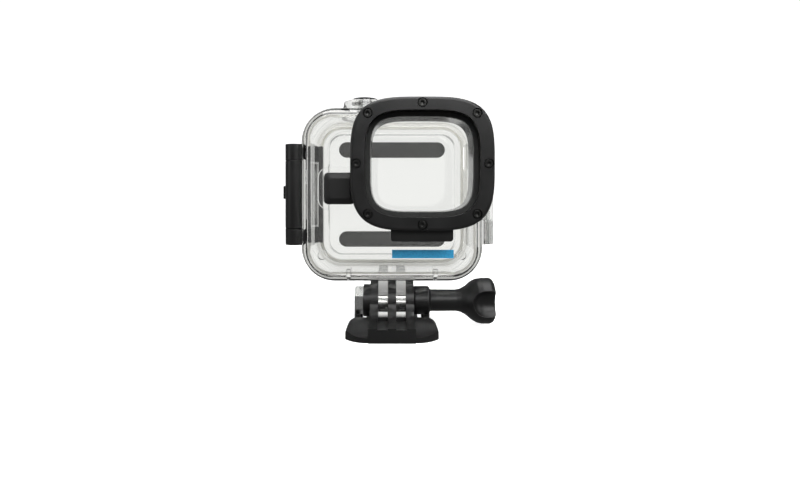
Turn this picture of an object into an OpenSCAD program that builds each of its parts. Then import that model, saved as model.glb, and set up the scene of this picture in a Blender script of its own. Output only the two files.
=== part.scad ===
// Clear dive housing for a small square camera, standing on a quick-release buckle.
// Frame: X to the right, -Y is the lens side, +Z up. The origin is the middle of the
// buckle's underside, straight below the tilt axis.

/* [Housing body] */
// Width of the housing body
body_w = 59.4; // [58:0.1:61]
// Height of the housing body
body_h = 56.8; // [55.5:0.1:58]
// Height of the body's middle above the buckle's underside
body_mid_z = 47; // [46.8:0.1:48]
// Radius of the body's four corners
body_r = 11; // [10:0.5:12]
// Thickness of the clear walls
wall = 2.6; // [2.2:0.1:2.8]
// Front face of the body
front_y = -16; // [-17:0.1:-15.5]
// Where the door meets the body
part_y = 13; // [12.5:0.1:13.5]
// Thickness of the door's plate
door_t = 4.5; // [4.2:0.1:5]

/* [Lens port] */
// Width of the lens ring
ring_w = 43.3; // [42.5:0.1:44]
// Height of the lens ring
ring_h = 40.2; // [39.5:0.1:41]
// Offset of the port to the right of the body's middle
port_x = 9.1; // [8:0.1:9.4]
// Offset of the port above the body's middle
port_up = 9.2; // [8:0.1:9.4]
// Front face of the lens ring
ring_front_y = -27; // [-28:0.1:-26.6]

/* [Buttons] */
// Travel of each button
press = 1.5; // [1:0.1:1.6]
// Diameter of the shutter cap
shutter_d = 9.3; // [8.5:0.1:9.6]
// Side of the square front cap
cap_w = 10; // [9.5:0.1:10.4]

/* [Mount] */
// Height of the tilt axis
axis_z = 9.5; // [9.3:0.1:10]
// Outer radius of the fingers and prongs
finger_r = 7.5; // [7:0.1:7.5]
// Width of the whole finger stack
stack_w = 15; // [14.8:0.1:15.2]
// Width of the gap that each prong sits in
gap_w = 3.35; // [3.3:0.05:3.4]
// Diameter of the thumb screw's thread
screw_d = 5; // [4.8:0.1:5]

/* [Hidden] */
$fn = 64;
eps = 0.01;
slip = 0.1;    // running clearance between moving faces
run_r = 0.08;  // radial clearance of a shaft in its bore

// Housing body
in_w = body_w - 2 * wall;
in_h = body_h - 2 * wall;
front_wall = 2.4;
in_y = front_y + front_wall;
bottom_z = body_mid_z - body_h / 2;
top_z = body_mid_z + body_h / 2;
side_x = body_w / 2;
edge_r = 4.2;

// Lens port, from the glass backwards
port_z = body_mid_z + port_up;
ring_t = 4;
seat_y = ring_front_y + ring_t;  // front of the port's flange
glass_w = ring_w - 6.7;
glass_h = ring_h - 6;
glass_t = 2;
mouth_w = 34.5;          // opening in the front of the ring
mouth_h = 32.2;
glass_y = seat_y - 1.9;
tunnel_w = 32.6;
tunnel_h = 30.2;
liner_w = tunnel_w - 1.2;
liner_h = tunnel_h - 1.2;
ring_bow = 3.6;          // how square each outline is: a higher exponent is squarer
glass_bow = 3.9;
tunnel_bow = 4.2;
liner_bow = 4.4;
glass_gap = 0.3;         // play of the glass in its seats
screw_spots = 8;
screw_inset = 1.85;      // ring screws, in from the ring's outline
screw_r = 0.75;
screw_head_r = 1.3;

// Shutter turret on top, button boss on the front
turret = [-9.4, -2];
turret_top = top_z + 3.7;
turret_r = 7.3;
plunger_drop = 1.9;      // how far the shutter body reaches below the turret's rim
well_floor = turret_top - plunger_drop - press - slip;
stem_r = 1.5;
boss_x = -16.6;
boss_z = body_mid_z + 1.9;
boss_w = 13.6;
boss_y = front_y - 2.5;
cap_back = 0.8;          // back of the front cap, behind the boss's face
spring_r = 3.4;          // recess in the front cap for its spring

// Hinge on the right, latch on the left
hinge = [side_x + 6.6, part_y - 1];
knuckle_r = 2.2;
hinge_pin_r = 1;
pin_head_r = 1.35;
knuckle_h = 9.2;
pin_head_h = knuckle_h - 0.4;      // the thick foot of the hinge pin
knuckle_out = 18.8;              // outer end of each body knuckle from mid-height
latch = [-side_x - 4.7, 1];
latch_r = 3.6;
latch_h = 35.6;
clasp_h = 24;
latch_pin_r = 1;
strip_t = 1.5;           // the latch frame's backing strip inside the bay
strip_y = 7.6;
strip_w = 1.6;
lock_out = 2.2;          // how far the lock's tab stands out of the clasp
lock_h = 4.8;
lock_z = body_mid_z + 0.75;
lock_travel = 3;

// Door pads
pad_w = 40.6;
pad_h = 5.9;
pad_up = 17.1;           // their middles, above and below the body's middle

// Mount
finger_w = (stack_w - 2 * gap_w) / 3;
gap_x = (finger_w + gap_w) / 2;
prong_w = gap_w - 2 * slip;
trough_r = finger_r + 0.4;
bolt_r = screw_d / 2;
nose_y = -18.4;
split_y = -8;
tail_y = 22;
nose_w = 30.4;
tongue_w = 19;
slot_z = 4.25;          // floor of the slots between the fingers, in front of the prongs
web_z = 4.4;            // top of the web that joins the fingers behind the prongs
arm_root = [12.2, -9];
arm_root_r = 1.3;
arm_h = 4.3;
nut_r = 5;               // across the nut's corners, halved
knob_end = 35.8;
scoop = [32.2, 9.1, 5];  // the knob's scoops: along the axis, off the axis, radius

// ---- Shared shapes ----

// Extrudes an outline drawn in X and Z from y0 back to y1.
module slab(y0, y1) {
    translate([0, y1, 0]) rotate([90, 0, 0]) linear_extrude(y1 - y0) children();
}

// Extrudes an outline drawn in Y and Z from x0 to x1.
module across(x0, x1) {
    translate([x0, 0, 0]) rotate([90, 0, 90]) linear_extrude(x1 - x0) children();
}

// Extrudes an outline drawn in X and Y from z0 up to z1.
module plan(z0, z1) {
    translate([0, 0, z0]) linear_extrude(z1 - z0) children();
}

// A shaft or bore along Y.
module rod_y(r, y0, y1) {
    translate([0, y0, 0]) rotate([-90, 0, 0]) cylinder(r = r, h = y1 - y0);
}

// A shaft or bore along X.
module rod_x(r, x0, x1, fn = 64) {
    translate([x0, 0, 0]) rotate([0, 90, 0]) cylinder(r = r, h = x1 - x0, $fn = fn);
}

module round_rect(w, h, r) {
    square([w - 2 * r, h], center = true);
    square([w, h - 2 * r], center = true);
    for (x = [-1, 1], z = [-1, 1]) translate([x * (w / 2 - r), z * (h / 2 - r)]) circle(r);
}

// Points of a rounded square whose sides bow slightly: a superellipse of exponent e.
function bowed(w, h, e, n = 72) = [
    for (i = [0:n - 1])
        let (c = cos(360 * i / n), s = sin(360 * i / n))
        [w / 2 * sign(c) * pow(abs(c), 2 / e), h / 2 * sign(s) * pow(abs(s), 2 / e)]
];

module port_outline(w, h, e = ring_bow) {
    translate([port_x, port_z]) polygon(bowed(w, h, e));
}

// A solid body blank whose edges at y0 are rounded by f.
module blank(w, h, r, y0, y1, f) {
    steps = 10;
    hull() for (x = [-1, 1], z = [-1, 1])
        translate([x * (w / 2 - r), 0, body_mid_z + z * (h / 2 - r)]) rotate([-90, 0, 0])
            rotate_extrude($fn = 48) polygon(concat(
                [[0, y1], [0, y0]],
                [for (i = [0:steps]) let (a = 90 * i / steps)
                    [r - f + f * sin(a), y0 + f - f * cos(a)]],
                [[r, y1]]));
}

// A coil spring along Z, swept as rings of points around its wire.
module coil(r, wire_r, h, turns) {
    sides = 8;
    per_turn = 20;
    rings = turns * per_turn;
    points = [for (i = [0:rings], k = [0:sides - 1])
        let (a = 360 * i / per_turn, b = 360 * k / sides, d = r + wire_r * cos(b))
        [d * cos(a), d * sin(a), wire_r + (h - 2 * wire_r) * i / rings + wire_r * sin(b)]];
    walls = [for (i = [0:rings - 1], k = [0:sides - 1]) let (n = (k + 1) % sides)
        [i * sides + k, (i + 1) * sides + k, (i + 1) * sides + n, i * sides + n]];
    ends = [[for (k = [0:sides - 1]) k], [for (k = [sides - 1:-1:0]) rings * sides + k]];
    polyhedron(points, concat(walls, ends), convexity = 10);
}

// A seal ring lying flat around the Z axis.
module seal_ring(inner_r, section_r) {
    rotate_extrude() translate([inner_r + section_r, 0]) circle(section_r, $fn = 24);
}

// A split retaining clip around a stem, one thickness high.
module split_clip(inner_r, outer_r, t) {
    linear_extrude(t) difference() {
        circle(outer_r);
        circle(inner_r);
        translate([inner_r, 0]) square([2 * inner_r, 1.4 * inner_r], center = true);
    }
}

// ---- Mount ----

module finger_outline() {
    translate([0, axis_z]) circle(finger_r);
    polygon([[-finger_r, axis_z], [-8.5, 7.6], [-10.8, 6.1], [-14.2, 5.2], [nose_y - 0.5, 4.7],
        [nose_y - 0.5, 0], [11, 0], [11, 3], [finger_r, axis_z]]);
}

// The buckle's front edge in plan: straight in the middle, swept back at the sides.
module nose_outline() {
    n = 24;
    flat = 8;
    function sweep(x) = nose_y + 4.1 * pow(max(0, (abs(x) - flat) / (nose_w / 2 - flat)), 2.2);
    polygon(concat(
        [for (i = [0:n]) let (x = nose_w * (i / n - 0.5)) [x, sweep(x)]],
        [[nose_w / 2 - 0.6, split_y], [0.6 - nose_w / 2, split_y]]));
}

// The nose from the side: its top falls away towards the front.
module nose_profile() {
    polygon([[nose_y - 1, 0], [nose_y - 1, 1.5], [nose_y + 0.4, 1.7], [-16.6, 2.2], [-14.8, 3],
        [-13, 4], [-11.4, 4.8], [-9.8, 5.3], [split_y, 5.5], [split_y, 0]]);
}

module buckle_base() color("#1f1f1f") difference() {
    union() {
        intersection() {
            slab(nose_y - 1, split_y) intersection() {
                translate([0, -2.4]) round_rect(nose_w, 15.8, 3.6);
                translate([-nose_w / 2, 0]) square([nose_w, 6]);
            }
            plan(-1, 8) nose_outline();
            across(-nose_w, nose_w) nose_profile();
        }
        plan(0, 1.5) translate([-tongue_w / 2, split_y - eps]) square([tongue_w, tail_y - split_y]);
        plan(1.5 - eps, 3.2) translate([1.2 - tongue_w / 2, split_y - eps])
            square([tongue_w - 2.4, tail_y - split_y - 1]);
        across(-stack_w / 2, stack_w / 2)
            translate([nose_y - 0.5, 0]) square([split_y - nose_y, slot_z]);
        across(-stack_w / 2, stack_w / 2)
            polygon([[4, 0], [4, web_z], [9.4, web_z], [11, 3], [11, 0]]);
        for (i = [-1:1]) across(i * 2 * gap_x - finger_w / 2, i * 2 * gap_x + finger_w / 2)
            finger_outline();
        translate([0, 0, axis_z]) rod_x(5.6, -10, -finger_w / 2 - gap_w);
    }
    for (side = [-1, 1]) {
        across(side * gap_x - gap_w / 2, side * gap_x + gap_w / 2) {
            translate([0, axis_z]) circle(trough_r);
            translate([nose_y - 1, slot_z]) square([11, 8]);
        }
        translate([side * arm_root[0], arm_root[1], 0.3])
            cylinder(r = arm_root_r + slip, h = arm_h - 0.2);
    }
    translate([0, 0, axis_z]) {
        rod_x(bolt_r + slip, -11, 9);
        rod_x(nut_r + 0.08, -11, -8.4, 6);
    }
}

// A spring arm beside the tongue: a round root in the nose, a catch and a ribbed thumb tab.
module clip_arm(side) color("#232323") mirror([side < 0 ? 1 : 0, 0, 0]) difference() {
    union() {
        translate([arm_root[0], arm_root[1], 0.4]) cylinder(r = arm_root_r, h = arm_h - 0.4);
        plan(0.4, arm_h) polygon([[11.4, arm_root[1]], [13, arm_root[1]], [13.1, 4], [13.5, 9],
            [14.3, 12], [14.6, 17], [13.8, 19], [12.2, 19], [12, 12], [11.5, 6]]);
        plan(0.4, 2.2) polygon([[11, 9.5], [12.4, 8.4], [12.4, 12.4], [11, 12.4]]);
    }
    for (y = [13:1.3:17]) translate([14.85, y, 0]) cylinder(r = 0.45, h = 8);
}

module mount_nut() color("#c9cac8") translate([0, 0, axis_z]) difference() {
    rod_x(nut_r, -13, -8.5, 6);
    rod_x(bolt_r + 0.05, -14, -8);
}

module screw_rod() color("#b4b5b3") translate([0, 0, axis_z]) rod_x(bolt_r, -12.4, 12);

// The knob is turned, then scooped three times so that it has three lobes.
module thumb_knob() color("#242424") translate([0, 0, axis_z]) difference() {
    rotate([0, 90, 0]) rotate_extrude() polygon([
        [0, stack_w / 2 + slip], [4.6, stack_w / 2 + slip], [4.95, 8], [4.95, 12.8], [4.5, 13.2],
        [3.8, 13.4], [3.75, 22.6], [4.1, 24.2], [5.1, 26], [6.6, 27.8], [7.7, 29.6], [8.1, 31.4],
        [8.1, 34.2], [7.6, 35.2], [6.6, knob_end], [0, knob_end]]);
    for (a = [0, 120, 240]) rotate([a, 0, 0]) translate([0, -scoop[1], 0]) {
        translate([scoop[0], 0, 0]) sphere(r = scoop[2]);
        rod_x(scoop[2], scoop[0], knob_end + 1.2);
    }
    rod_x(bolt_r, 0, 12 + eps);
}

// ---- Front half of the housing ----

module prong(side) across(side * gap_x - prong_w / 2, side * gap_x + prong_w / 2) {
    translate([0, axis_z]) circle(finger_r);
    translate([-finger_r, axis_z]) square([2 * finger_r, bottom_z - axis_z + 1]);
}

module body_knuckle(z0) plan(z0, z0 + knuckle_h) {
    translate(hinge) circle(knuckle_r);
    polygon([[side_x - 1, 6.6], [side_x, 6.8], [hinge[0], hinge[1] - knuckle_r], hinge,
        [side_x + 1, part_y - 0.2], [side_x - 1, part_y - 0.2]]);
}

module front_shell() color("#dfe3e4", 0.35) {
    difference() {
        union() {
            blank(body_w, body_h, body_r, front_y, part_y, edge_r);
            slab(front_y - 0.4, front_y + 1) translate([0, boss_z]) round_rect(41.4, 36.5, 6);
            slab(seat_y, seat_y + 3) port_outline(ring_w - 0.6, ring_h - 0.6);
            slab(seat_y + 2, front_y + 1) port_outline(tunnel_w + 5.8, tunnel_h + 5.8);
            slab(boss_y, front_y + 1) translate([boss_x, boss_z]) round_rect(boss_w, boss_w, 3.5);
            translate([turret[0], turret[1], top_z - 1]) {
                cylinder(r1 = turret_r + 0.9, r2 = turret_r, h = turret_top - top_z + 1);
            }
            for (side = [-1, 1]) prong(side);
            translate([-8, -9, bottom_z - 0.6]) cube([16, 18, 1.6]);
            body_knuckle(body_mid_z - knuckle_out);
            body_knuckle(body_mid_z + knuckle_out - knuckle_h);
        }
        slab(in_y, part_y + 1) translate([0, body_mid_z])
            round_rect(in_w, in_h, body_r - wall);
        slab(seat_y + 0.9, in_y + 1) port_outline(tunnel_w, tunnel_h, tunnel_bow);
        slab(seat_y - 1, seat_y + 0.9) port_outline(glass_w + glass_gap, glass_h + glass_gap, glass_bow);
        slab(boss_y - 1, boss_y + cap_back + press) translate([boss_x, boss_z])
            round_rect(cap_w + 2 * slip, cap_w + 2 * slip, 1.6);
        translate([turret[0], turret[1], well_floor]) cylinder(d = shutter_d + 2 * slip, h = 9);
        translate([turret[0], turret[1], top_z - wall - 1]) cylinder(r = stem_r + run_r, h = 9);
        translate([turret[0], turret[1], top_z - 1.7]) cylinder(r = stem_r + 1.1, h = 1.1);
        translate([boss_x, 0, boss_z]) {
            rod_y(stem_r + run_r, front_y - 1, in_y + 1);
            rod_y(stem_r + 1.1, front_y + 0.8, front_y + 1.9);
        }
        latch_studs();
        for (i = [1:screw_spots]) screw_at(i) rod_y(screw_r, seat_y - 1, seat_y + 2.6);
        translate([0, 0, axis_z]) rod_x(bolt_r + slip, -9, 9);
        translate([hinge[0], hinge[1], bottom_z]) {
            cylinder(r = hinge_pin_r, h = body_h);
            cylinder(r = pin_head_r, h = body_mid_z - knuckle_out + pin_head_h - bottom_z);
        }
    }
    for (x = [-22.7, 22.7]) translate([x, 0, body_mid_z - 19.8]) rod_y(1.4, in_y - eps, in_y + 2.2);
    for (x = [-14.3, 14.3]) translate([x - 0.6, in_y - eps, body_mid_z - in_h / 2 - eps])
        cube([1.2, 7, 1.3]);
    translate([turret[0], turret[1], top_z - wall - 0.6]) difference() {
        cylinder(r = 3.4, h = 0.7);
        translate([0, 0, -1]) cylinder(r = stem_r + run_r, h = 3);
    }
}

module port_liner() color("#1b1b1b") difference() {
    slab(seat_y + 1, in_y + 0.2) port_outline(tunnel_w - 0.1, tunnel_h - 0.1, tunnel_bow);
    slab(seat_y, in_y + 1) port_outline(liner_w, liner_h, liner_bow);
}

module lens_gasket() color("#3a3a3a") difference() {
    slab(glass_y + glass_t, seat_y + 0.9) port_outline(glass_w, glass_h, glass_bow);
    slab(glass_y, seat_y + 2) port_outline(liner_w, liner_h, liner_bow);
}

module lens_window() color("#eef4f5", 0.3) {
    slab(glass_y, glass_y + glass_t) port_outline(glass_w, glass_h, glass_bow);
}

// Where ring screw i sits. The corner screws lie on the outline, inset like the others.
module screw_at(i) {
    a = 360 / screw_spots * (i - 1);
    c = cos(a);
    s = sin(a);
    translate([
        port_x + (ring_w / 2 - screw_inset) * sign(c) * pow(abs(c), 2 / ring_bow),
        0,
        port_z + (ring_h / 2 - screw_inset) * sign(s) * pow(abs(s), 2 / ring_bow)]) children();
}

module lens_ring() color("#2c2c2b") difference() {
    union() {
        slab(ring_front_y, ring_front_y + 0.6) port_outline(ring_w - 0.9, ring_h - 0.9);
        slab(ring_front_y + 0.5, seat_y) port_outline(ring_w, ring_h);
        slab(seat_y - 1.5, seat_y + 2) translate([port_x, port_z - ring_h / 2])
            round_rect(19, 6.8, 1);
    }
    slab(ring_front_y - 1, glass_y) port_outline(mouth_w, mouth_h, glass_bow);
    slab(glass_y - eps, seat_y + 1) port_outline(glass_w + glass_gap, glass_h + glass_gap, glass_bow);
    slab(seat_y, seat_y + 3) port_outline(ring_w - 0.4, ring_h - 0.4);
    for (i = [1:screw_spots]) screw_at(i) {
        rod_y(screw_head_r + 0.2, ring_front_y - 1, ring_front_y + 1.2);
        rod_y(screw_r + 0.05, ring_front_y, seat_y + 1);
    }
}

module ring_screw(i) color("#161616") screw_at(i) difference() {
    union() {
        rod_y(screw_head_r, ring_front_y + 0.35, ring_front_y + 1.2);
        rod_y(screw_r, ring_front_y + 1.1, seat_y + 2.5);
    }
    translate([0, ring_front_y, 0]) rotate([-90, 0, 0]) cylinder(r = 0.6, h = 0.9, $fn = 6);
}

module hinge_pin() color("#bfc1c1") translate([hinge[0], hinge[1], body_mid_z - knuckle_out]) {
    cylinder(r = hinge_pin_r, h = 2 * knuckle_out);
    cylinder(r = pin_head_r, h = pin_head_h);
}

// ---- Latch ----

// Studs through the wall, one from each end block of the latch frame to its backing strip.
module latch_studs() {
    block_h = (latch_h - clasp_h) / 2 - slip;
    for (side = [-1, 1])
        translate([-side_x - 0.5, strip_y, body_mid_z + side * (latch_h - block_h) / 2 - 1.5])
            cube([wall + 1, strip_w, 3]);
}

// Two end blocks that hold the pin, held through the wall by a strip inside the bay.
module latch_frame() color("#2b2b2a") difference() {
    union() {
        for (z0 = [-latch_h / 2, clasp_h / 2 + slip])
            plan(body_mid_z + z0, body_mid_z + z0 + (latch_h - clasp_h) / 2 - slip) {
                translate(latch) circle(latch_r);
                translate([latch[0] - latch_r, latch[1]]) square([1.6, 10]);
                translate([latch[0], latch[1] - 2.4]) square([-side_x - latch[0], 11]);
                translate([latch[0] - latch_r, latch[1] + 7])
                    square([-side_x - latch[0] + latch_r, 3]);
            }
        latch_studs();
        plan(body_mid_z - latch_h / 2, body_mid_z + latch_h / 2)
            translate([-in_w / 2, strip_y]) square([strip_t, strip_w]);
    }
    translate([latch[0], latch[1], 0]) cylinder(r = latch_pin_r, h = 100);
}

module latch_pin() color("#bfc1c1") translate([latch[0], latch[1], body_mid_z - latch_h / 2 + 0.6])
    cylinder(r = latch_pin_r, h = latch_h - 1.2);

// The clasp turns outwards about its pin. Its tail grips the door's catch with no undercut.
module latch_clasp() color("#242424") difference() {
    plan(body_mid_z - clasp_h / 2, body_mid_z + clasp_h / 2) {
        translate(latch) circle(latch_r);
        translate([latch[0] - latch_r, latch[1]]) square([2.6, 17]);
        translate([latch[0] - latch_r + 1.2, latch[1] + 13])
            square([latch_r - latch[0] - side_x - 3.2, 5.2]);
        translate([latch[0] - latch_r + 1.2, latch[1] + 17]) circle(1.2);
    }
    translate([latch[0], latch[1], 0]) cylinder(r = latch_pin_r + run_r, h = 100);
    translate([latch[0] - 5, latch[1] + 5.6, lock_z - lock_h / 2 - lock_travel - slip])
        cube([5, 4.2, lock_h + lock_travel + 2 * slip]);
}

module latch_lock() color("#1c1c1c") {
    translate([latch[0] - latch_r - lock_out, latch[1] + 5.7, lock_z - lock_h / 2])
        cube([lock_out + 2.8, 4, lock_h]);
    translate([latch[0] - 0.9, latch[1] + 4.8, lock_z - lock_h / 2 - 1])
        cube([0.9, 5.8, lock_h + 2]);
}

// ---- Buttons ----

module shutter_cap() color("#1d1d1d") translate([turret[0], turret[1], turret_top + 0.4]) {
    cylinder(d = shutter_d, h = 0.5);
    translate([0, 0, 0.5 - eps]) cylinder(d1 = shutter_d, d2 = shutter_d - 0.8, h = 0.3);
}

// The clear body of the shutter button, below its black cap.
module shutter_plunger() color("#e4e8e8", 0.5) translate([turret[0], turret[1], 0]) difference() {
    translate([0, 0, turret_top - plunger_drop]) cylinder(d = shutter_d, h = plunger_drop + 0.4);
    translate([0, 0, turret_top - 2.9]) cylinder(r = 3.6, h = 2.1);
    translate([0, 0, turret_top - 2.9]) cylinder(r = stem_r, h = 2.7);
}

module shutter_stem() color("#b9bab8") translate([turret[0], turret[1], top_z - wall - 2.2])
    cylinder(r = stem_r, h = turret_top - top_z + wall + 2);

module shutter_seal() color("#2a2a2a") translate([turret[0], turret[1], top_z - 1.15])
    seal_ring(stem_r + 0.03, 0.5);

module shutter_spring() color("#9a9b99") translate([turret[0], turret[1], well_floor + 0.02])
    coil(2.6, 0.18, turret_top - 0.84 - well_floor, 2.5);

module shutter_clip() color("#a8a9a7") translate([turret[0], turret[1], top_z - wall - 1.3])
    split_clip(stem_r, 2.7, 0.6);

module front_cap() color("#1b1b1b") translate([boss_x, 0, boss_z]) difference() {
    union() {
        slab(boss_y + 0.2, boss_y + cap_back) round_rect(cap_w, cap_w, 1.5);
        for (k = [0:3]) slab(boss_y - 0.4 + 0.2 * k, boss_y + 0.3)
            round_rect(cap_w - 3.6 + 1.2 * k, cap_w - 3.6 + 1.2 * k, 1 + 0.15 * k);
    }
    slab(boss_y + 0.4, boss_y + 1) circle(spring_r);
    rod_y(stem_r, boss_y, boss_y + 1);
}

module front_stem() color("#b9bab8") translate([boss_x, 0, boss_z])
    rod_y(stem_r, boss_y, in_y + 2.4);

module front_seal() color("#2a2a2a") translate([boss_x, front_y + 1.35, boss_z])
    rotate([-90, 0, 0]) seal_ring(stem_r + 0.03, 0.5);

module front_spring() color("#9a9b99") translate([boss_x, boss_y + 0.42, boss_z])
    rotate([-90, 0, 0]) coil(2.4, 0.15, cap_back + press - 0.44, 3);

module front_clip() color("#a8a9a7") translate([boss_x, in_y + 0.1, boss_z]) rotate([-90, 0, 0])
    split_clip(stem_r, 2.7, 0.6);

// ---- Door ----

module back_door() color("#d9dedf", 0.35) difference() {
    union() {
        mirror([0, 1, 0]) blank(body_w, body_h, body_r, -part_y - door_t, -part_y - 0.05, 2.2);
        slab(part_y - 2, part_y + 1) translate([0, body_mid_z])
            round_rect(in_w - 2.6, in_h - 2.6, body_r - wall - 1.3);
        plan(body_mid_z - knuckle_out + knuckle_h + slip, body_mid_z + knuckle_out - knuckle_h - slip) {
            translate(hinge) circle(knuckle_r);
            polygon([[side_x - 4, part_y + 0.1], [side_x + 3, part_y + 0.1], hinge,
                [hinge[0], hinge[1] + knuckle_r], [side_x - 4, part_y + 3.4]]);
        }
        translate([-side_x - 1.9, part_y + 0.1, body_mid_z - 9]) cube([6, 2.8, 18]);
    }
    slab(part_y - 3, part_y + 2.2) translate([0, body_mid_z])
        round_rect(in_w - 6.2, in_h - 6.2, body_r - wall - 3);
    translate([hinge[0], hinge[1], bottom_z]) cylinder(r = hinge_pin_r + run_r, h = body_h);
}

module door_seal() color("#c9c7c2") slab(part_y - 1.5, part_y) translate([0, body_mid_z])
    difference() {
        round_rect(in_w - 0.1, in_h - 0.1, body_r - wall);
        round_rect(in_w - 2.56, in_h - 2.56, body_r - wall - 1.28);
    }

module door_pad(side) color("#4b4b4a") slab(part_y + 0.7, part_y + 2.2)
    translate([0, body_mid_z + side * pad_up]) round_rect(pad_w, pad_h, pad_h / 2 - eps);

buckle_base();
clip_arm(-1);  // clip_arm_left
clip_arm(1);  // clip_arm_right
mount_nut();
screw_rod();
thumb_knob();
front_shell();
port_liner();
lens_gasket();
lens_window();
lens_ring();
hinge_pin();
latch_frame();
latch_pin();
latch_clasp();
latch_lock();
shutter_cap();
shutter_plunger();
shutter_stem();
shutter_seal();
shutter_spring();
shutter_clip();
front_cap();
front_stem();
front_seal();
front_spring();
front_clip();
back_door();
door_seal();
door_pad(1);  // pad_upper
door_pad(-1);  // pad_lower
for (i = [1:screw_spots]) ring_screw(i);
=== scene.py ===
"""Looks of a clear dive housing for a small square camera, on its quick-release buckle."""

import math

import bmesh
import bpy
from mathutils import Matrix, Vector


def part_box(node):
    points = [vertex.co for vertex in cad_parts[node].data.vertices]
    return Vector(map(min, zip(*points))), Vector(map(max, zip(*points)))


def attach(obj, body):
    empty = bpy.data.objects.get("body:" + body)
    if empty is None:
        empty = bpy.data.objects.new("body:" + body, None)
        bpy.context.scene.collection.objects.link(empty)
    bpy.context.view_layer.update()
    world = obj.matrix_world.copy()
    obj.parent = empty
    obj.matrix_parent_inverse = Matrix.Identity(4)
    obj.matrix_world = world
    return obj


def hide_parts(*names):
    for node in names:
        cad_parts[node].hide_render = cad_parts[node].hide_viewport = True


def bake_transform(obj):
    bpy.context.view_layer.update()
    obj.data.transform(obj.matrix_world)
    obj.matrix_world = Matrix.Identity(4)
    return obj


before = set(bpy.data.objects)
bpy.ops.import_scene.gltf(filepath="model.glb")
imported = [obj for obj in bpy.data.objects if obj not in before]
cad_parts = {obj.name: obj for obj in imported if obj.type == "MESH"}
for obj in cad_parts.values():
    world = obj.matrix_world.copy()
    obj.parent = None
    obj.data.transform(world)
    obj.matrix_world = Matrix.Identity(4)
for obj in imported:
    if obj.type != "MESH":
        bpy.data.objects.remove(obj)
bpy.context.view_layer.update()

bl_info = {
    "name": "Clear Dive Housing",
    "version": (1, 0, 0),
    "blender": (4, 5, 0),
    "location": "3D Viewport > Sidebar > Housing",
    "description": "Builds a clear camera housing on a quick-release buckle around its CAD frame",
    "category": "Object",
}

MM = 0.001
BOXES = {name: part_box(name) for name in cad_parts}
RING_SCREWS = range(1, 9)
EYE_HEIGHT = 47 * MM
WELD_DISTANCE = 0.002 * MM
FLAT_ANGLE = math.radians(0.5)


# ---- Settings ----


class HousingSizes(bpy.types.PropertyGroup):
    """Sizes that a user may change without touching the fit of any part."""

    moulded_edge: bpy.props.FloatProperty(
        name="Moulded edge",
        description="Radius of the edges of the black moulded parts",
        default=0.28 * MM,
        min=0.05 * MM,
        max=0.6 * MM,
        unit="LENGTH",
    )
    clear_edge: bpy.props.FloatProperty(
        name="Clear edge",
        description="Radius of the small edges of the clear parts",
        default=0.4 * MM,
        min=0.05 * MM,
        max=0.4 * MM,
        unit="LENGTH",
    )
    bar_width: bpy.props.FloatProperty(
        name="Printed bar width",
        description="Width of the plain coloured bar printed on the front",
        default=19.8 * MM,
        unit="LENGTH",
    )
    bar_height: bpy.props.FloatProperty(
        name="Printed bar height",
        description="Height of the plain coloured bar printed on the front",
        default=2.7 * MM,
        unit="LENGTH",
    )


def colour_property(name, description, value):
    return bpy.props.StringProperty(name=name, description=description, default=value)


class HousingColours(bpy.types.PropertyGroup):
    """Colours as sRGB hex values."""

    nylon: colour_property("Nylon", "Black moulded mount and latch", "#141414")
    ring: colour_property("Lens ring", "Black satin ring around the lens window", "#191919")
    button: colour_property("Buttons", "Black caps of the two buttons", "#111111")
    liner: colour_property("Port liner", "Black sleeve behind the lens window", "#101010")
    pad: colour_property("Pads", "Grey rubber pads on the door", "#333332")
    gasket: colour_property("Gaskets", "Dark grey rubber seals", "#474746")
    silicone: colour_property("Door seal", "Milky silicone seal of the door", "#dcdad4")
    steel: colour_property("Steel", "Stainless steel nut, pins and stems", "#cfd0cf")
    black_steel: colour_property("Ring screws", "Blackened steel screws", "#3a3a39")
    clear: colour_property("Clear plastic", "Tint of the clear polycarbonate", "#fcfcfb")
    depth: colour_property(
        "Clear plastic depth", "Colour that the clear plastic takes on along a wall", "#8f8b80")
    ink: colour_property("Printed bar", "Ink of the plain printed bar", "#4cc4ff")


def sizes():
    return bpy.context.scene.housing_sizes


def colours():
    return bpy.context.scene.housing_colours


# ---- Materials ----


def linear(hex_value, alpha=1.0):
    """An sRGB hex value as linear RGBA."""
    channels = [int(hex_value[i : i + 2], 16) / 255 for i in (1, 3, 5)]
    return [c / 12.92 if c <= 0.04045 else ((c + 0.055) / 1.055) ** 2.4 for c in channels] + [alpha]


def add_node(tree, kind, inputs=None, **settings):
    """Adds a shader node, sets its settings, and sets or links its inputs."""
    node = tree.nodes.new(kind)
    for key, value in settings.items():
        setattr(node, key, value)
    for key, value in (inputs or {}).items():
        if isinstance(value, bpy.types.NodeSocket):
            tree.links.new(value, node.inputs[key])
        else:
            node.inputs[key].default_value = value
    return node


def new_material(name):
    """An empty node material. Returns it with its tree and its output node."""
    material = bpy.data.materials.new(name)
    material.use_nodes = True
    material.node_tree.nodes.clear()
    output = add_node(material.node_tree, "ShaderNodeOutputMaterial")
    return material, material.node_tree, output


def object_coordinates(tree):
    return add_node(tree, "ShaderNodeTexCoord").outputs["Object"]


def per_metre(feature_mm):
    """The noise scale whose features measure feature_mm."""
    return 1 / (feature_mm * MM)


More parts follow.
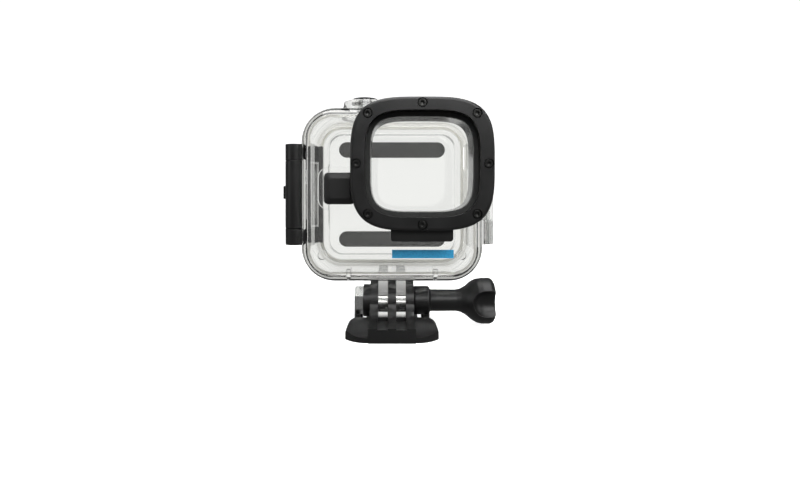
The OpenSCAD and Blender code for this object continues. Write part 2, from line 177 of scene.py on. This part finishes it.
def moulded(name, hex_value, roughness, grain_mm, grain_depth_mm, spread=0.06):
    """A moulded surface: the fine grain of its tool, and broad faint changes of sheen."""
    patch_mm, tint_swing = 7.0, 0.18
    material, tree, output = new_material(name)
    where = object_coordinates(tree)
    grain = add_node(tree, "ShaderNodeTexNoise",
                     {"Vector": where, "Scale": per_metre(grain_mm), "Detail": 3.0, "Roughness": 0.55})
    broad = add_node(tree, "ShaderNodeTexNoise",
                     {"Vector": where, "Scale": per_metre(patch_mm), "Detail": 2.0})
    sheen = add_node(tree, "ShaderNodeMapRange",
                     {"Value": broad.outputs["Fac"], "From Min": 0.3, "From Max": 0.7,
                      "To Min": roughness - spread, "To Max": roughness + spread})
    base = linear(hex_value)
    tint = add_node(tree, "ShaderNodeValToRGB", {"Fac": grain.outputs["Fac"]})
    for stop, position, factor in zip(tint.color_ramp.elements, (0.3, 0.7),
                                      (1 - tint_swing, 1 + tint_swing)):
        stop.position = position
        stop.color = [c * factor for c in base[:3]] + [1]
    bump = add_node(tree, "ShaderNodeBump",
                    {"Height": grain.outputs["Fac"], "Strength": 0.35,
                     "Distance": grain_depth_mm * MM})
    shader = add_node(tree, "ShaderNodeBsdfPrincipled",
                      {"Base Color": tint.outputs["Color"], "Roughness": sheen.outputs["Result"],
                       "Normal": bump.outputs["Normal"], "IOR": 1.5})
    tree.links.new(shader.outputs["BSDF"], output.inputs["Surface"])
    return material


def glass_filled_nylon():
    """Glass-filled nylon, moulded in a spark-eroded tool: deep black with a low satin sheen."""
    return moulded("glass_filled_nylon", colours().nylon, roughness=0.42, grain_mm=0.22,
                   grain_depth_mm=0.02)


def satin_abs():
    """ABS moulded in a finely blasted tool: a smoother, slightly lighter black than the mount."""
    return moulded("satin_abs", colours().ring, roughness=0.36, grain_mm=0.16, grain_depth_mm=0.012)


def button_abs():
    """ABS caps with a blasted face: darker and duller than the ring, so that a fingertip grips."""
    return moulded("button_abs", colours().button, roughness=0.5, grain_mm=0.16, grain_depth_mm=0.015)


def gloss_abs_liner():
    """ABS from a polished tool: black and nearly grainless, with soft mirroring at a glancing angle."""
    return moulded("gloss_abs_liner", colours().liner, roughness=0.19, grain_mm=0.6,
                   grain_depth_mm=0.0003, spread=0.03)


def silicone_seal():
    """Milky silicone: light gets a little way in, and the skin is dull."""
    material, tree, output = new_material("silicone_seal")
    noise = add_node(tree, "ShaderNodeTexNoise",
                     {"Vector": object_coordinates(tree), "Scale": per_metre(1.5), "Detail": 2.0})
    rough = add_node(tree, "ShaderNodeMapRange",
                     {"Value": noise.outputs["Fac"], "To Min": 0.4, "To Max": 0.6})
    shader = add_node(tree, "ShaderNodeBsdfPrincipled",
                      {"Base Color": linear(colours().silicone), "Roughness": rough.outputs["Result"],
                       "IOR": 1.41, "Transmission Weight": 0.5})
    tree.links.new(shader.outputs["BSDF"], output.inputs["Surface"])
    return material


def nitrile_rubber():
    """Moulded nitrile rubber: a matt dark grey, duller in some places than in others."""
    return moulded("nitrile_rubber", colours().gasket, roughness=0.62, grain_mm=0.3,
                   grain_depth_mm=0.02, spread=0.1)


def pad_rubber():
    """Soft dark grey rubber with a fine even grain, for the pads on the door."""
    return moulded("pad_rubber", colours().pad, roughness=0.66, grain_mm=0.3,
                   grain_depth_mm=0.03, spread=0.08)


def turned_steel():
    """Stainless steel off the lathe: fine lines, which run round the screw's rod, break up the shine."""
    groove_mm, run_mm = 0.12, 2.5
    material, tree, output = new_material("turned_steel")
    rings = add_node(tree, "ShaderNodeMapping",
                     {"Vector": object_coordinates(tree),
                      "Scale": (per_metre(groove_mm), per_metre(run_mm), per_metre(run_mm))})
    lines = add_node(tree, "ShaderNodeTexNoise", {"Vector": rings.outputs["Vector"], "Scale": 1.0,
                                                  "Detail": 2.0})
    rough = add_node(tree, "ShaderNodeMapRange",
                     {"Value": lines.outputs["Fac"], "To Min": 0.18, "To Max": 0.4})
    bump = add_node(tree, "ShaderNodeBump", {"Height": lines.outputs["Fac"], "Strength": 0.25,
                                             "Distance": 0.01 * MM})
    shader = add_node(tree, "ShaderNodeBsdfPrincipled",
                      {"Base Color": linear(colours().steel), "Metallic": 1.0,
                       "Roughness": rough.outputs["Result"], "Normal": bump.outputs["Normal"]})
    tree.links.new(shader.outputs["BSDF"], output.inputs["Surface"])
    return material


def black_oxide_steel():
    """Blackened steel: a thin oxide over machined metal, with a sheen that varies a little."""
    material, tree, output = new_material("black_oxide_steel")
    noise = add_node(tree, "ShaderNodeTexNoise",
                     {"Vector": object_coordinates(tree), "Scale": per_metre(0.4), "Detail": 3.0})
    rough = add_node(tree, "ShaderNodeMapRange",
                     {"Value": noise.outputs["Fac"], "To Min": 0.22, "To Max": 0.42})
    shader = add_node(tree, "ShaderNodeBsdfPrincipled",
                      {"Base Color": linear(colours().black_steel), "Metallic": 0.9,
                       "Roughness": rough.outputs["Result"]})
    tree.links.new(shader.outputs["BSDF"], output.inputs["Surface"])
    return material


def clear_resin(name, ior, roughness, haze_mm, absorbed=0.0):
    """A polished clear solid that lets lamps shine through to what is inside it."""
    swing, lets_through = 0.6, (0.94, 0.95, 0.95, 1)
    material, tree, output = new_material(name)
    noise = add_node(tree, "ShaderNodeTexNoise",
                     {"Vector": object_coordinates(tree), "Scale": per_metre(haze_mm), "Detail": 2.0})
    rough = add_node(tree, "ShaderNodeMapRange",
                     {"Value": noise.outputs["Fac"], "To Min": roughness * (1 - swing),
                      "To Max": roughness * (1 + swing)})
    glass = add_node(tree, "ShaderNodeBsdfPrincipled",
                     {"Base Color": linear(colours().clear), "Roughness": rough.outputs["Result"],
                      "IOR": ior, "Transmission Weight": 1.0})
    open_way = add_node(tree, "ShaderNodeBsdfTransparent", {"Color": lets_through})
    path = add_node(tree, "ShaderNodeLightPath")
    mixed = add_node(tree, "ShaderNodeMixShader",
                     {0: path.outputs["Is Shadow Ray"], 1: glass.outputs["BSDF"],
                      2: open_way.outputs["BSDF"]})
    tree.links.new(mixed.outputs["Shader"], output.inputs["Surface"])
    if absorbed:
        depth = add_node(tree, "ShaderNodeVolumeAbsorption",
                         {"Color": linear(colours().depth), "Density": absorbed})
        tree.links.new(depth.outputs["Volume"], output.inputs["Volume"])
    return material


def polished_polycarbonate():
    """Polycarbonate moulded in a polished tool: clear through a wall, smoky grey along one."""
    return clear_resin("polished_polycarbonate", ior=1.585, roughness=0.02, haze_mm=6.0, absorbed=10.0)


def float_glass():
    """Optical flat glass: smoother and clearer than the plastic around it."""
    return clear_resin("float_glass", ior=1.52, roughness=0.004, haze_mm=12.0)


def pad_printed_ink():
    """Pad-printed ink: a thin even film with a slight orange peel."""
    return moulded("pad_printed_ink", colours().ink, roughness=0.35, grain_mm=0.5,
                   grain_depth_mm=0.004, spread=0.04)


MATERIALS = {}


def material(maker):
    """Each material is made once and shared."""
    if maker.__name__ not in MATERIALS:
        MATERIALS[maker.__name__] = maker()
    return MATERIALS[maker.__name__]


# ---- Modelling ----


def only(piece):
    """Selects one object and makes it active, with nothing else selected."""
    if bpy.context.object and bpy.context.object.mode != "OBJECT":
        bpy.ops.object.mode_set(mode="OBJECT")
    bpy.ops.object.select_all(action="DESELECT")
    piece.select_set(True)
    bpy.context.view_layer.objects.active = piece


def merged_copy(node, name):
    """A new piece with the CAD node's shape: its loose triangles joined and flat faces made whole."""
    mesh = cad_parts[node].data.copy()
    mesh.name = name
    mesh.materials.clear()
    piece = bpy.data.objects.new(name, mesh)
    bpy.context.scene.collection.objects.link(piece)
    only(piece)
    bpy.ops.mesh.customdata_custom_splitnormals_clear()
    bpy.ops.object.mode_set(mode="EDIT")
    bpy.ops.mesh.select_all(action="SELECT")
    bpy.ops.mesh.remove_doubles(threshold=WELD_DISTANCE)
    bpy.ops.mesh.dissolve_limited(angle_limit=FLAT_ANGLE)
    bpy.ops.object.mode_set(mode="OBJECT")
    return piece


def add_modifier(piece, kind, **settings):
    """Adds a modifier, sets it and applies it."""
    only(piece)
    modifier = piece.modifiers.new(kind.title(), kind)
    for key, value in settings.items():
        setattr(modifier, key, value)
    bpy.ops.object.modifier_apply(modifier=modifier.name)


def round_edges(piece, radius, segments=2, angle=35):
    add_modifier(piece, "BEVEL", width=radius, segments=segments, limit_method="ANGLE",
                 angle_limit=math.radians(angle), harden_normals=False, use_clamp_overlap=True)


def shade(piece, angle=40):
    """Smooth rounded edges beside flat faces that stay flat."""
    only(piece)
    bpy.ops.object.shade_smooth_by_angle(angle=math.radians(angle))
    add_modifier(piece, "WEIGHTED_NORMAL", weight=50, keep_sharp=True)


def outline(width, height, power, count, centre):
    """Points of a rounded square whose sides bow slightly, in X and Z."""
    points = []
    for i in range(count):
        c, s = math.cos(math.tau * i / count), math.sin(math.tau * i / count)
        points.append((centre[0] + width / 2 * math.copysign(abs(c) ** (2 / power), c),
                       centre[1] + height / 2 * math.copysign(abs(s) ** (2 / power), s)))
    return points


def lofted(name, sections, centre, count=144, closed=True):
    """Extrudes a loop through sections (y, width, height, power), then joins or caps its ends.

    A power of 2 gives an ellipse, and a higher one a squarer outline."""
    bpy.ops.object.select_all(action="DESELECT")
    bpy.ops.mesh.primitive_circle_add(vertices=count, radius=0.01)
    piece = bpy.context.object
    piece.name = name
    piece.data.name = name
    bpy.ops.object.mode_set(mode="EDIT")
    for i, (y, width, height, power) in enumerate(sections):
        if i:
            bpy.ops.mesh.extrude_edges_move()
        mesh = bmesh.from_edit_mesh(piece.data)
        mesh.verts.ensure_lookup_table()
        ring = [v for v in mesh.verts if v.index >= count * i]
        for vertex, (x, z) in zip(ring, outline(width, height, power, count, centre)):
            vertex.co = Vector((x, y, z))
        bmesh.update_edit_mesh(piece.data)
    ends = (0, (len(sections) - 1) * count)
    if closed:
        select_rings(piece, count, ends)
        bpy.ops.mesh.bridge_edge_loops()
    else:
        for end in ends:
            select_rings(piece, count, (end,))
            bpy.ops.mesh.edge_face_add()
    bpy.ops.mesh.select_all(action="SELECT")
    bpy.ops.mesh.normals_make_consistent(inside=False)
    bpy.ops.object.mode_set(mode="OBJECT")
    return piece


def select_rings(piece, count, starts):
    """In edit mode, selects the edges of the loops whose first points are given."""
    mesh = bmesh.from_edit_mesh(piece.data)
    bpy.ops.mesh.select_all(action="DESELECT")
    bpy.ops.mesh.select_mode(type="EDGE")
    for edge in mesh.edges:
        a, b = (v.index for v in edge.verts)
        edge.select = any(s <= a < s + count and s <= b < s + count for s in starts)
    mesh.select_flush_mode()
    bmesh.update_edit_mesh(piece.data)


def combined(piece, other, operation):
    """Joins or cuts piece with other, and removes other."""
    add_modifier(piece, "BOOLEAN", object=other, operation=operation, solver="EXACT")
    bpy.data.objects.remove(other)


def block(name, centre, size, corner, corner_axis=1, segments=6):
    """A box whose four edges along one axis are rounded."""
    bpy.ops.object.select_all(action="DESELECT")
    bpy.ops.mesh.primitive_cube_add(size=1)
    piece = bpy.context.object
    piece.name = name
    piece.data.name = name
    for vertex in piece.data.vertices:
        vertex.co = Vector(c + s * v for c, s, v in zip(centre, size, vertex.co))
    only(piece)
    bpy.ops.object.mode_set(mode="EDIT")
    mesh = bmesh.from_edit_mesh(piece.data)
    bpy.ops.mesh.select_all(action="DESELECT")
    bpy.ops.mesh.select_mode(type="EDGE")
    for edge in mesh.edges:
        run = (edge.verts[0].co - edge.verts[1].co).normalized()
        edge.select = abs(run[corner_axis]) > 0.9
    mesh.select_flush_mode()
    bmesh.update_edit_mesh(piece.data)
    bpy.ops.mesh.bevel(offset=corner, segments=segments, affect="EDGES")
    bpy.ops.object.mode_set(mode="OBJECT")
    return piece


def rod(name, centre, radius, depth, sides=48):
    """A round rod along Y, for cutting a hole or a recess."""
    bpy.ops.object.select_all(action="DESELECT")
    bpy.ops.mesh.primitive_cylinder_add(vertices=sides, radius=radius, depth=depth, location=centre,
                                        rotation=(math.radians(90), 0, 0))
    piece = bpy.context.object
    piece.name = name
    bpy.ops.object.transform_apply(location=True, rotation=True, scale=True)
    return piece


def arc(radius, steps):
    """Steps along a quarter turn: how far in, and how far along."""
    turns = [math.pi / 2 * i / steps for i in range(steps + 1)]
    return [(radius * (1 - math.cos(t)), radius * math.sin(t)) for t in turns]


def finished(piece, body, nodes, look, angle=40):
    """Shades a piece, gives it its look and its body if one is given, and hides its CAD nodes."""
    shade(piece, angle)
    piece.data.materials.clear()
    piece.data.materials.append(look)
    if body:
        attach(piece, body)
    if nodes:
        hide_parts(*nodes)
    return piece


def refined(node, name, body, look, radius, segments=2, angle=35):
    """The CAD node's shape with its edges rounded as a mould leaves them."""
    piece = merged_copy(node, name)
    round_edges(piece, radius, segments, angle)
    return finished(piece, body, (node,), look)


def dressed(node, look):
    """A CAD node whose shape is right keeps it and gets a material."""
    node_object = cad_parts[node]
    node_object.data.materials.clear()
    node_object.data.materials.append(look)


# ---- Pieces ----


class PieceOperator:
    """What every operator here shares: it works on the loaded frame and can be undone."""

    bl_options = {"REGISTER", "UNDO"}

    def execute(self, context):
        self.build()
        return {"FINISHED"}


class HOUSING_OT_stage(PieceOperator, bpy.types.Operator):
    """Set a pale sweep, soft studio lamps and the camera"""

    bl_idname = "housing.stage"
    bl_label = "Stage"

    def build(self):
        self.sweep()
        self.lamps()
        self.camera()

    def sweep(self):
        """A floor that curves up into a wall behind the object."""
        half_width, near, far_end, wall_height = 2, -0.8, 0.7, 2
        steps, radius = 12, 0.3
        bpy.ops.object.select_all(action="DESELECT")
        bpy.ops.mesh.primitive_plane_add(size=1)
        floor = bpy.context.object
        floor.name = "pale_sweep"
        corners = [(x, y, 0) for y in (near, far_end) for x in (-half_width, half_width)]
        for vertex, corner in zip(floor.data.vertices, corners):
            vertex.co = Vector(corner)
        only(floor)
        bpy.ops.object.mode_set(mode="EDIT")
        for i in range(steps):
            mesh = bmesh.from_edit_mesh(floor.data)
            far = max(mesh.edges, key=lambda e: sum(v.co.y + 10 * v.co.z for v in e.verts))
            bpy.ops.mesh.select_all(action="DESELECT")
            bpy.ops.mesh.select_mode(type="EDGE")
            far.select = True
            mesh.select_flush_mode()
            bmesh.update_edit_mesh(floor.data)
            a, b = (math.pi / 2 * k / steps for k in (i, i + 1))
            step = (0, radius * (math.sin(b) - math.sin(a)), radius * (math.cos(a) - math.cos(b)))
            bpy.ops.mesh.extrude_edges_move(TRANSFORM_OT_translate={"value": step})
        bpy.ops.mesh.extrude_edges_move(TRANSFORM_OT_translate={"value": (0, 0, wall_height)})
        bpy.ops.object.mode_set(mode="OBJECT")
        floor.data.materials.append(self.paper())
        shade(floor, 60)

    def studio_level(self, tree, direction):
        """How bright the studio is in a direction: a white band all round, darker above and below."""
        height = add_node(tree, "ShaderNodeSeparateXYZ", {0: direction}).outputs["Z"]

        def fade(start, end, low):
            node = add_node(tree, "ShaderNodeMapRange",
                            {"Value": height, "From Min": start, "From Max": end, "To Min": low},
                            interpolation_type="SMOOTHSTEP")
            return node.outputs["Result"]

        above, below = fade(start=0.5, end=0.2, low=0.0), fade(start=-0.6, end=-0.28, low=0.3)
        level = add_node(tree, "ShaderNodeMath", {0: above, 1: below},
                         operation="MULTIPLY").outputs["Value"]
        return add_node(tree, "ShaderNodeMapRange",
                        {"Value": level, "To Min": 0.03, "To Max": 1.0}).outputs["Result"]

    def seen_by_ray(self, tree, through_glass, otherwise):
        """A level for rays that came through clear plastic and one for the rest, and the camera's rays."""
        ray = add_node(tree, "ShaderNodeLightPath")
        return add_node(tree, "ShaderNodeMapRange",
                        {"Value": ray.outputs["Is Transmission Ray"], "To Min": otherwise,
                         "To Max": through_glass}).outputs["Result"], ray.outputs["Is Camera Ray"]

    def paper(self):
        """Matt white paper to the camera; to all other rays a painted glow at the studio's levels, with
        painted shade on the floor straight under the object.
        """
        paper, tree, output = new_material("white_paper")
        place = add_node(tree, "ShaderNodeNewGeometry").outputs["Position"]
        reach = add_node(tree, "ShaderNodeVectorMath", {0: place, 1: (0, 0, EYE_HEIGHT)},
                         operation="SUBTRACT")
        direction = add_node(tree, "ShaderNodeVectorMath", {0: reach.outputs["Vector"]},
                             operation="NORMALIZE")
        # Painted glow: through the clear plastic the floor glows bright far off and dim straight under the
        # object, a painted shade; other rays see a flat dim glow.
        level, camera_ray = self.seen_by_ray(
            tree, self.studio_level(tree, direction.outputs["Vector"]), otherwise=0.2)
        painted_glow = add_node(tree, "ShaderNodeEmission", {"Color": linear("#fbfcfb"), "Strength": level})
        seen = add_node(tree, "ShaderNodeBsdfPrincipled",
                        {"Base Color": linear("#f7f8f7"), "Roughness": 0.9,
                         "Emission Color": linear("#ffffff"), "Emission Strength": 0.86})
        mixed = add_node(tree, "ShaderNodeMixShader",
                         {0: camera_ray, 1: painted_glow.outputs["Emission"], 2: seen.outputs["BSDF"]})
        tree.links.new(mixed.outputs["Shader"], output.inputs["Surface"])
        return paper

    def lamps(self):
        target = Vector((0, 0, 50 * MM))

        def panel(name, place, size, watts):
            data = bpy.data.lights.new(name, "AREA")
            data.shape = "RECTANGLE"
            data.size, data.size_y = size
            data.energy = watts
            lamp = bpy.data.objects.new(name, data)
            lamp.location = place
            lamp.rotation_euler = (target - Vector(place)).to_track_quat("-Z", "Y").to_euler()
            bpy.context.scene.collection.objects.link(lamp)

        panel("overhead_softbox", place=(0.0, -0.1, 0.6), size=(0.6, 0.5), watts=4.2)
        panel("left_softbox", place=(-0.6, -0.25, 0.3), size=(0.2, 0.5), watts=0.7)
        panel("right_softbox", place=(0.6, -0.25, 0.3), size=(0.2, 0.5), watts=0.8)
        panel("front_fill", place=(0.15, -0.65, 0.45), size=(0.5, 0.3), watts=3.0)
        self.surroundings()

    def surroundings(self):
        """A dim room to lamps and reflections, a white band to what shines through the plastic."""
        world = bpy.data.worlds.new("studio")
        world.use_nodes = True
        tree = world.node_tree
        tree.nodes.clear()
        direction = add_node(tree, "ShaderNodeTexCoord").outputs["Generated"]
        level, camera_ray = self.seen_by_ray(tree, self.studio_level(tree, direction), otherwise=0.07)
        strength = add_node(tree, "ShaderNodeMapRange",
                            {"Value": camera_ray, "To Min": level, "To Max": 1.0})
        light = add_node(tree, "ShaderNodeBackground",
                         {"Color": linear("#fbfcfb"), "Strength": strength.outputs["Result"]})
        output = add_node(tree, "ShaderNodeOutputWorld")
        tree.links.new(light.outputs["Background"], output.inputs["Surface"])
        bpy.context.scene.world = world

    def camera(self):
        """A close, level camera straight in front of the lens side."""
        distance = 165 * MM
        data = bpy.data.cameras.new("camera")
        data.sensor_width = 36
        data.lens = 20.9
        data.shift_x = 0.010
        data.shift_y = -0.0694
        data.clip_start = 0.005
        camera = bpy.data.objects.new("camera", data)
        camera.location = (0, -distance, EYE_HEIGHT)
        camera.rotation_euler = (math.radians(90), 0, 0)
        bpy.context.scene.collection.objects.link(camera)
        bpy.context.scene.camera = camera


class HOUSING_OT_clear_shell(PieceOperator, bpy.types.Operator):
    """Model the clear front half of the housing"""

    bl_idname = "housing.clear_shell"
    bl_label = "Clear shell"

    def build(self):
        refined("front_shell", "clear_front_shell", "housing",
                material(polished_polycarbonate), sizes().clear_edge)


class HOUSING_OT_door(PieceOperator, bpy.types.Operator):
    """Model the clear back door with its seal and rubber pads"""

    bl_idname = "housing.door"
    bl_label = "Back door"

    def build(self):
        refined("back_door", "clear_back_door", "door",
                material(polished_polycarbonate), sizes().clear_edge)
        refined("door_seal", "silicone_door_seal", "door",
                material(silicone_seal), radius=0.3 * MM)
        for side in ("upper", "lower"):
            refined(f"pad_{side}", f"rubber_pad_{side}", "door",
                    material(pad_rubber), radius=0.5 * MM, segments=4)


class HOUSING_OT_lens_port(PieceOperator, bpy.types.Operator):
    """Model the lens ring, its screws, the glass, the gasket and the liner"""

    bl_idname = "housing.lens_port"
    bl_label = "Lens port"

    def build(self):
        self.ring()
        refined("lens_window", "flat_lens_window", "housing",
                material(float_glass), radius=0.15 * MM)
        refined("port_liner", "gloss_port_liner", "housing",
                material(gloss_abs_liner), radius=0.12 * MM)
        refined("lens_gasket", "black_lens_gasket", "housing",
                material(nitrile_rubber), radius=0.15 * MM)
        for i in RING_SCREWS:
            refined(f"ring_screw_{i}", f"socket_screw_{i}", "housing",
                    material(black_oxide_steel), radius=0.16 * MM, segments=3)

    def ring(self):
        """The ring from its outline, its lower tab added, the flange's seat and screw recesses cut."""
        ring_bow, mouth_bow = 3.6, 3.9
        soft, small = 0.9 * MM, 0.25 * MM
        glass_gap, gasket_shows, seat_rim = 0.15 * MM, 0.9 * MM, 0.2 * MM
        tab_size, tab_corner, tab_back = (19 * MM, 3.5 * MM, 6.8 * MM), 1 * MM, 4.25 * MM
        recess_r, recess_depth, seat_depth = 1.5 * MM, 1.2 * MM, 3 * MM

        low, high = BOXES["lens_window"]
        centre = ((low[0] + high[0]) / 2, (low[2] + high[2]) / 2)
        (left, front, foot), (right, _, top) = BOXES["lens_ring"]
        back = BOXES["lens_gasket"][1][1] - gasket_shows
        width, height = right - left, 2 * (top - centre[1])
        mouth = (34.5 * MM, 32.2 * MM, mouth_bow)
        pocket = (high[0] - low[0] + 2 * glass_gap, high[2] - low[2] + 2 * glass_gap, mouth_bow)
        seat = (width - 2 * seat_rim, height - 2 * seat_rim, ring_bow)

        outer = [(front + soft - along, width - 2 * inward, height - 2 * inward, ring_bow)
                 for inward, along in arc(soft, 6)]
        # Behind its front edge the mouth is wider by a small step, and narrows again to the glass.
        inner = [(front + along, mouth[0] + 2 * outward, mouth[1] + 2 * outward, mouth_bow)
                 for outward, along in arc(small, 3)]
        sections = [(back, width, height, ring_bow), *outer, *inner, (low[1], *mouth), (low[1], *pocket),
                    (back, *pocket)]
        ring = lofted("lens_port_ring", sections, centre)
        tab = block("ring_tab", (centre[0], front + tab_back, foot + tab_size[2] / 2), tab_size, tab_corner)
        round_edges(tab, 0.3 * MM, segments=3, angle=60)
        combined(ring, tab, "UNION")
        cutter = lofted("ring_seat", [(back, *seat), (back + seat_depth, *seat)], centre, closed=False)
        combined(ring, cutter, "DIFFERENCE")
        for i in RING_SCREWS:
            at, to = BOXES[f"ring_screw_{i}"]
            x, z = (at[0] + to[0]) / 2, (at[2] + to[2]) / 2
            combined(ring, rod("recess", (x, front, z), recess_r, 2 * recess_depth), "DIFFERENCE")
        finished(ring, "housing", ("lens_ring",), material(satin_abs))


class HOUSING_OT_buttons(PieceOperator, bpy.types.Operator):
    """Model the two push buttons with their stems, seals, springs and clips"""

    bl_idname = "housing.buttons"
    bl_label = "Push buttons"

    def build(self):
        for kind in ("shutter", "front"):
            body = f"{kind}_button"
            refined(f"{kind}_stem", f"{kind}_button_stem", body,
                    material(turned_steel), radius=0.15 * MM)
            refined(f"{kind}_clip", f"{kind}_stem_clip", body,
                    material(turned_steel), radius=0.05 * MM)
            dressed(f"{kind}_seal", material(nitrile_rubber))
        dressed("front_spring", material(turned_steel))
        self.shutter_spring()
        refined("shutter_cap", "shutter_button_cap", "shutter_button",
                material(button_abs), radius=0.2 * MM, segments=3)
        refined("shutter_plunger", "shutter_button_body", "shutter_button",
                material(polished_polycarbonate), radius=0.1 * MM)
        self.square_cap()

    def shutter_spring(self):
        """The coil in the clear turret: it gets no body, and its place is baked into its points."""
        spring = merged_copy("shutter_spring", "shutter_return_spring")
        finished(spring, None, ("shutter_spring",), material(turned_steel), 60)
        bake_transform(spring)

    def square_cap(self):
        """The front button: a rounded square whose face slopes up to a smaller flat.

        Its back stops short of the CAD cap's, so that it is clear of its stop when pressed."""
        low, high = BOXES["front_cap"]
        flat, rise, stop_gap, corner = 0.64, 0.8 * MM, 0.05 * MM, 1.5 * MM
        centre = [(a + b) / 2 for a, b in zip(low, high)]
        size = [b - a for a, b in zip(low, high)]
        centre[1] += (rise - stop_gap) / 2
        size[1] -= rise + stop_gap
        cap = block("front_button_cap", centre, size, corner)
        bpy.ops.object.mode_set(mode="EDIT")
        mesh = bmesh.from_edit_mesh(cap.data)
        bpy.ops.mesh.select_all(action="DESELECT")
        bpy.ops.mesh.select_mode(type="FACE")
        for face in mesh.faces:
            face.select = face.normal.y < -0.9
        bmesh.update_edit_mesh(cap.data)
        bpy.ops.mesh.extrude_region_move(TRANSFORM_OT_translate={"value": (0, -rise, 0)})
        bpy.ops.transform.resize(value=(flat, 1, flat), center_override=centre)
        bpy.ops.object.mode_set(mode="OBJECT")
        round_edges(cap, 0.15 * MM, segments=3, angle=15)
        finished(cap, "front_button", ("front_cap",), material(button_abs), 60)


class HOUSING_OT_latch(PieceOperator, bpy.types.Operator):
    """Model the side latch with its frame, clasp, lock and pin"""

    bl_idname = "housing.latch"
    bl_label = "Latch"

    def build(self):
        refined("latch_frame", "latch_frame_moulding", "housing",
                material(glass_filled_nylon), sizes().moulded_edge, segments=3)
        refined("latch_clasp", "latch_clasp_shell", "latch",
                material(glass_filled_nylon), sizes().moulded_edge, segments=3)
        refined("latch_lock", "latch_lock_slider", "latch_slider",
                material(glass_filled_nylon), radius=0.2 * MM, segments=3)
        for pin in ("latch_pin", "hinge_pin"):
            refined(pin, f"steel_{pin}", "housing", material(turned_steel), radius=0.2 * MM)


class HOUSING_OT_buckle(PieceOperator, bpy.types.Operator):
    """Model the quick-release buckle and its two spring arms"""

    bl_idname = "housing.buckle"
    bl_label = "Buckle"

    def build(self):
        refined("buckle_base", "moulded_buckle", "buckle",
                material(glass_filled_nylon), sizes().moulded_edge, segments=3)
        for side in ("left", "right"):
            refined(f"clip_arm_{side}", f"spring_arm_{side}", f"clip_{side}",
                    material(glass_filled_nylon), sizes().moulded_edge, segments=3)


class HOUSING_OT_thumb_screw(PieceOperator, bpy.types.Operator):
    """Model the thumb knob, its rod and the nut"""

    bl_idname = "housing.thumb_screw"
    bl_label = "Thumb screw"

    def build(self):
        knob = merged_copy("thumb_knob", "lobed_thumb_knob")
        add_modifier(knob, "REMESH", mode="VOXEL", voxel_size=0.17 * MM)
        add_modifier(knob, "SMOOTH", factor=0.5, iterations=4)
        finished(knob, "thumb_screw", ("thumb_knob",), material(glass_filled_nylon), 60)
        refined("screw_rod", "threaded_rod", "thumb_screw",
                material(turned_steel), radius=0.2 * MM)
        refined("mount_nut", "steel_hex_nut", "buckle",
                material(turned_steel), radius=0.3 * MM, segments=3)


class HOUSING_OT_printed_bar(PieceOperator, bpy.types.Operator):
    """Print a plain coloured bar on the front wall"""

    bl_idname = "housing.printed_bar"
    bl_label = "Printed bar"

    def build(self):
        wall_y, film = -16.0 * MM, 0.06 * MM
        middle_x, middle_z = 9.9 * MM, 27.9 * MM
        bpy.ops.object.select_all(action="DESELECT")
        bpy.ops.mesh.primitive_cube_add(size=1)
        bar = bpy.context.object
        bar.name = "printed_bar"
        half = (sizes().bar_width / 2, film / 2, sizes().bar_height / 2)
        centre = Vector((middle_x, wall_y - film / 2, middle_z))
        for vertex in bar.data.vertices:
            vertex.co = centre + Vector(math.copysign(h, c) for h, c in zip(half, vertex.co))
        finished(bar, "housing", (), material(pad_printed_ink))


OPERATORS = (
    HOUSING_OT_stage, HOUSING_OT_clear_shell, HOUSING_OT_door, HOUSING_OT_lens_port,
    HOUSING_OT_buttons, HOUSING_OT_latch, HOUSING_OT_buckle, HOUSING_OT_thumb_screw,
    HOUSING_OT_printed_bar,
)


class HOUSING_PT_panel(bpy.types.Panel):
    """Sizes, colours and one button for each group of pieces"""

    bl_idname = "HOUSING_PT_panel"
    bl_label = "Clear dive housing"
    bl_space_type = "VIEW_3D"
    bl_region_type = "UI"
    bl_category = "Housing"

    def draw(self, context):
        for group in (context.scene.housing_sizes, context.scene.housing_colours):
            box = self.layout.box()
            for key in group.__annotations__:
                box.prop(group, key)
        for operator in OPERATORS:
            self.layout.operator(operator.bl_idname)


CLASSES = (HousingSizes, HousingColours, *OPERATORS, HOUSING_PT_panel)


def register():
    for item in CLASSES:
        bpy.utils.register_class(item)
    bpy.types.Scene.housing_sizes = bpy.props.PointerProperty(type=HousingSizes)
    bpy.types.Scene.housing_colours = bpy.props.PointerProperty(type=HousingColours)


def unregister():
    del bpy.types.Scene.housing_colours
    del bpy.types.Scene.housing_sizes
    for item in reversed(CLASSES):
        bpy.utils.unregister_class(item)


def main():
    register()
    bpy.context.scene.view_settings.view_transform = "Standard"
    for operator in OPERATORS:
        group, name = operator.bl_idname.split(".")
        getattr(getattr(bpy.ops, group), name)()


if __name__ == "__main__":
    main()
